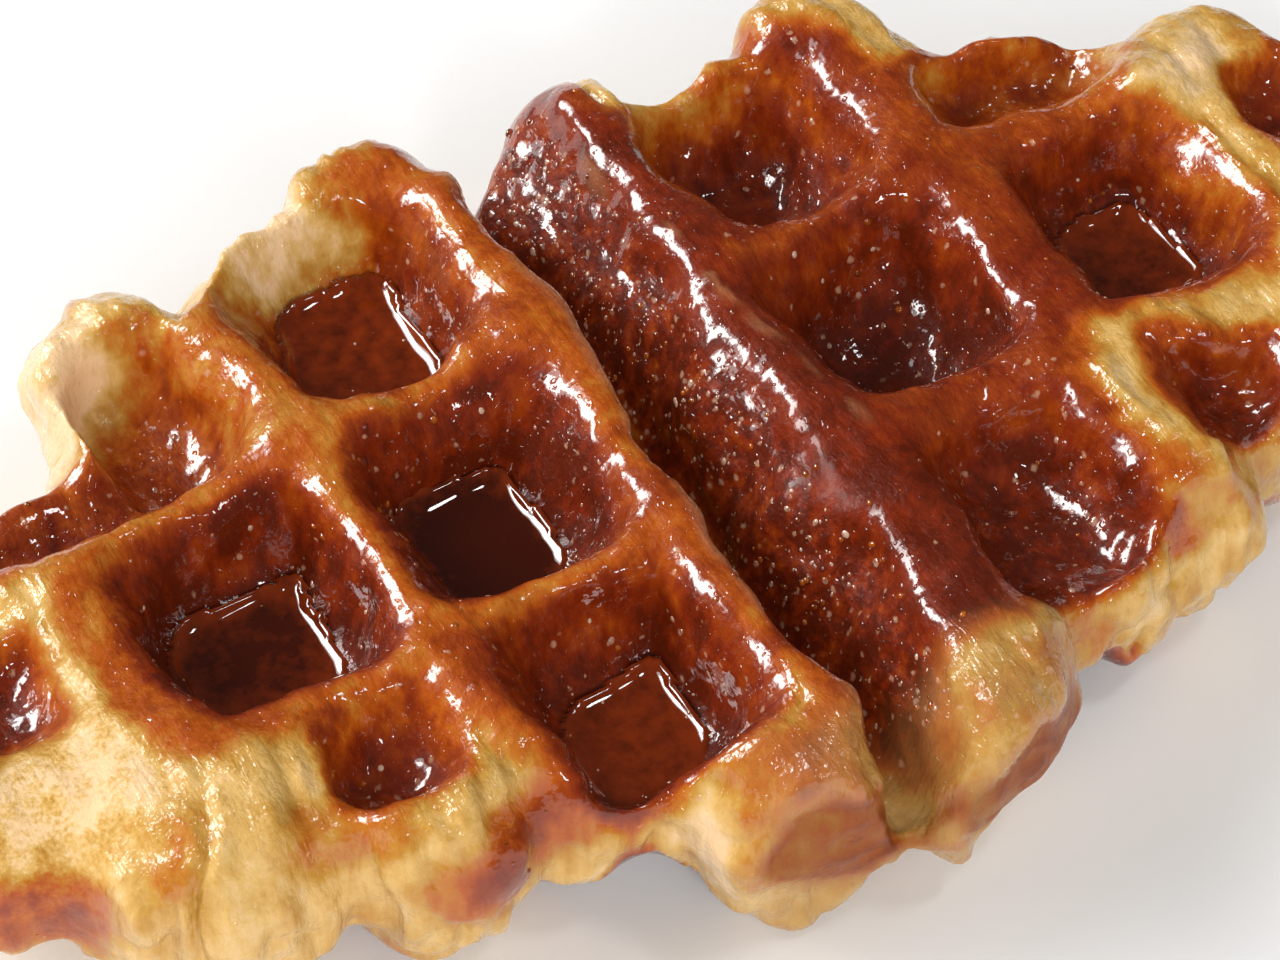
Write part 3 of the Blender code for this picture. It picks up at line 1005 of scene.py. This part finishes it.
class CROFFLE_OT_crust(bpy.types.Operator):
    """Remeshes the solid finely and gives it dough relief, strands, bake and glaze"""

    bl_idname = "croffle.crust"
    bl_label = "Crust"

    def execute(self, context):
        looks = context.scene.croffle_crust
        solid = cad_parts[NODE]
        weld = ("WELD", {"merge_threshold": WELD_GAP})
        remesh = ("REMESH", {"mode": "VOXEL", "voxel_size": looks.voxel})
        fine = baked_mesh(solid.data, "fine crust", (weld, remesh))
        without_facets(fine, looks.smoothing, looks.sharpness)
        points = mesh_points(fine)
        low = points[:, 2].min()
        out = relief(points, crust_fields(points), looks) * rise(0.0, FADE_HEIGHT, points[:, 2] - low)
        points += mesh_normals(fine) * out[:, None]
        set_points(fine, points + warp(points))
        below = (points[:, 2] < UNDERSIDE) & (mesh_normals(fine)[:, 2] < UNDERSIDE_RISE)
        thin = {
            "ratio": min(1.0, looks.most_triangles / triangle_count(fine)),
            "vertex_group": "chosen",
            "vertex_group_factor": 100.0,
        }
        crust = baked_mesh(fine, "crust", (("DECIMATE", thin),), np.nonzero(below)[0].tolist())
        points = mesh_points(crust)
        fields = crust_fields(points - warp(points))
        for name in MATERIAL_FIELDS:
            add_field(crust, name, fields[name])
        piece = add_piece("crust", crust, crust_material(looks))
        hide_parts(NODE)
        return {"FINISHED"}


class CROFFLE_OT_syrup(bpy.types.Operator):
    """Fills the deep pockets with level syrup that curls up at their walls"""

    bl_idname = "croffle.syrup"
    bl_label = "Syrup pools"

    def execute(self, context):
        looks = context.scene.croffle_syrup
        tree = crust_tree()
        parts = [pool_part(tree, POCKETS[place], level, looks) for place, level, _ in POOLS]
        points, faces = joined(parts)
        mesh = new_mesh("syrup_pools", points, faces)
        add_field(mesh, "depth", np.concatenate([part[2] * pool[2] for part, pool in zip(parts, POOLS)]))
        add_piece("syrup_pools", mesh, syrup_material(looks))
        return {"FINISHED"}


# Kinds of blobs: least and largest radius in millimetres, a power that draws sizes towards the least,
# height over width, how far the middle stands out of the surface in radii, and the seed
BEADS = ((0.10, 0.36), 1, 0.7, -0.1, 21)
GRAINS = ((0.08, 0.38), 3, 0.55, -0.25, 22)
FROTH = ((0.06, 0.16), 1, 0.6, 0.0, 23)


class CROFFLE_OT_sugar(bpy.types.Operator):
    """Scatters set bubbles of glaze and milky sugar grains over the glazed crust"""

    bl_idname = "croffle.sugar"
    bl_label = "Beads and sugar"

    def execute(self, context):
        looks = context.scene.croffle_syrup
        crust = bpy.data.objects["crust"]
        points = mesh_points(crust.data)
        fields = crust_fields(points - warp(points))
        above = rise(9.0, 11.0, points[:, 2]) * rise(0.5, 0.62, fields["bake"])
        weights = above * (0.5 + 1.5 * fields["trench"])
        beads = blobs(crust, weights, looks.beads, BEADS)
        add_piece("glaze_beads", new_mesh("glaze_beads", *beads), bead_material())

        # The grains gather in clusters in the fold
        clusters = rise(-0.1, 0.4, noise(points, 5.0, 38))
        weights = above * (0.1 + 12.0 * fields["trench"] * clusters + fields["pocket"])
        grains = blobs(crust, weights, looks.grains, GRAINS)

        # Froth floats where a pool is shallow
        pools = bpy.data.objects["syrup_pools"]
        depths = np.empty(len(pools.data.vertices), np.float32)
        pools.data.attributes["depth"].data.foreach_get("value", depths)
        froth = blobs(pools, rise(0.5, 0.1, depths), looks.froth, FROTH)
        add_piece("sugar_grains", new_mesh("sugar_grains", *joined([grains, froth])), sugar_material())
        return {"FINISHED"}


# Stage, in metres and watts

FLOOR_HALF_WIDTH = 1.5
WORLD_STRENGTH = 0.05
CAMERA_AZIMUTH = -31.8
CAMERA_ELEVATION = 50.7
CAMERA_DISTANCE = 0.350
CAMERA_TARGET = Vector((-0.0091, -0.0061, 0.0226))
CAMERA_WIDTH_AT_TARGET = 0.0994
CAMERA_NEAREST = 0.01
SENSOR_MM = 36.0

# Softboxes: name, side they shine from, distance, width, height, watts, colour, whether they light
# matt surfaces, and whether they show in the glaze. The window only shows, and the bounces from
# pale walls only light.
WINDOW_SIDE = (-0.55, 0.62, 0.60)
SOFTBOXES = (
    ("window", WINDOW_SIDE, 0.8, 0.44, 0.30, 7.6, "#FFFDFA", False, True),
    ("window blind", WINDOW_SIDE, 0.82, 0.62, 0.46, 4.4, "#FFFFFF", True, True),
    ("overhead", (0.30, -0.25, 0.92), 0.9, 0.14, 0.08, 0.8, "#FFFFFF", True, True),
    ("front lamp", (-0.20, -0.85, 0.62), 1.2, 0.16, 0.12, 1.9, "#FFFFFF", True, True),
    ("window bounce", WINDOW_SIDE, 1.3, 1.6, 1.0, 11.0, "#FFFFFF", True, False),
    ("front bounce", (-0.5, -0.9, 0.55), 1.3, 1.6, 1.0, 15.0, "#FFFFFF", True, False),
    ("side bounce", (0.8, -0.2, 0.6), 1.3, 1.6, 1.0, 2.5, "#FFFFFF", True, False),
)


def turn_to(direction):
    """The rotation that points an object's -Z along a direction, level."""
    return direction.to_track_quat("-Z", "Y").to_euler()


def add_softbox(name, side, distance, width, height, watts, colour, lights, shows):
    """A rectangular studio light that faces the croffle from a side."""
    data = bpy.data.lights.new(name, "AREA")
    data.shape = "RECTANGLE"
    data.size = width
    data.size_y = height
    data.energy = watts
    data.color = linear(colour)[:3]
    lamp = add_object(name, data)
    aim = Vector(side).normalized()
    lamp.location = aim * distance
    lamp.rotation_euler = turn_to(-aim)
    lamp.visible_diffuse = lights
    lamp.visible_glossy = shows


def add_floor():
    """A wide sheet of white paper under the croffle."""
    corners = np.array([(-1, -1, 0), (1, -1, 0), (1, 1, 0), (-1, 1, 0)]) * FLOOR_HALF_WIDTH / MM
    floor = add_object("floor", new_mesh("floor", corners, np.array([[0, 1, 2, 3]])))
    floor.data.materials.append(paper_material())


def add_world():
    """A dim white room round the stage."""
    scene = bpy.context.scene
    scene.world = bpy.data.worlds.new("studio room")
    scene.world.use_nodes = True
    background = scene.world.node_tree.nodes["Background"]
    background.inputs["Color"].default_value = linear("#FFFFFF")
    background.inputs["Strength"].default_value = WORLD_STRENGTH
    scene.view_settings.view_transform = "Standard"


def add_camera():
    """The camera at the photograph's viewing angle."""
    azimuth = math.radians(CAMERA_AZIMUTH)
    tilt = math.radians(CAMERA_ELEVATION)
    back = Vector((math.sin(azimuth) * math.cos(tilt), -math.cos(azimuth) * math.cos(tilt), math.sin(tilt)))
    data = bpy.data.cameras.new("camera")
    data.sensor_width = SENSOR_MM
    data.lens = SENSOR_MM * CAMERA_DISTANCE / CAMERA_WIDTH_AT_TARGET
    data.clip_start = CAMERA_NEAREST
    camera = add_object("camera", data)
    camera.location = CAMERA_TARGET + back * CAMERA_DISTANCE
    camera.rotation_euler = turn_to(-back)
    bpy.context.scene.camera = camera


class CROFFLE_OT_stage(bpy.types.Operator):
    """Adds a pale floor, soft studio lights and the camera"""

    bl_idname = "croffle.stage"
    bl_label = "Stage"

    def execute(self, context):
        add_floor()
        for softbox in SOFTBOXES:
            add_softbox(*softbox)
        add_world()
        add_camera()
        return {"FINISHED"}


class CROFFLE_PT_sidebar(bpy.types.Panel):
    """Lists the croffle's operators and settings"""

    bl_idname = "CROFFLE_PT_sidebar"
    bl_label = "Croffle"
    bl_space_type = "VIEW_3D"
    bl_region_type = "UI"
    bl_category = "Croffle"

    def draw(self, context):
        for group in (context.scene.croffle_crust, context.scene.croffle_syrup):
            for name in group.__annotations__:
                self.layout.prop(group, name)
        for operator in OPERATORS:
            self.layout.operator(operator.bl_idname)


OPERATORS = (CROFFLE_OT_crust, CROFFLE_OT_syrup, CROFFLE_OT_sugar, CROFFLE_OT_stage)
CLASSES = (CroffleCrust, CroffleSyrup, *OPERATORS, CROFFLE_PT_sidebar)


def register():
    """Adds the classes and the scene's settings to Blender."""
    for kind in CLASSES:
        bpy.utils.register_class(kind)
    bpy.types.Scene.croffle_crust = bpy.props.PointerProperty(type=CroffleCrust)
    bpy.types.Scene.croffle_syrup = bpy.props.PointerProperty(type=CroffleSyrup)


def unregister():
    """Takes them out again."""
    del bpy.types.Scene.croffle_crust
    del bpy.types.Scene.croffle_syrup
    for kind in reversed(CLASSES):
        bpy.utils.unregister_class(kind)


def main():
    """Builds everything in order."""
    register()
    bpy.ops.croffle.crust()
    bpy.ops.croffle.syrup()
    bpy.ops.croffle.sugar()
    bpy.ops.croffle.stage()
    bpy.context.view_layer.update()


if __name__ == "__main__":
    main()
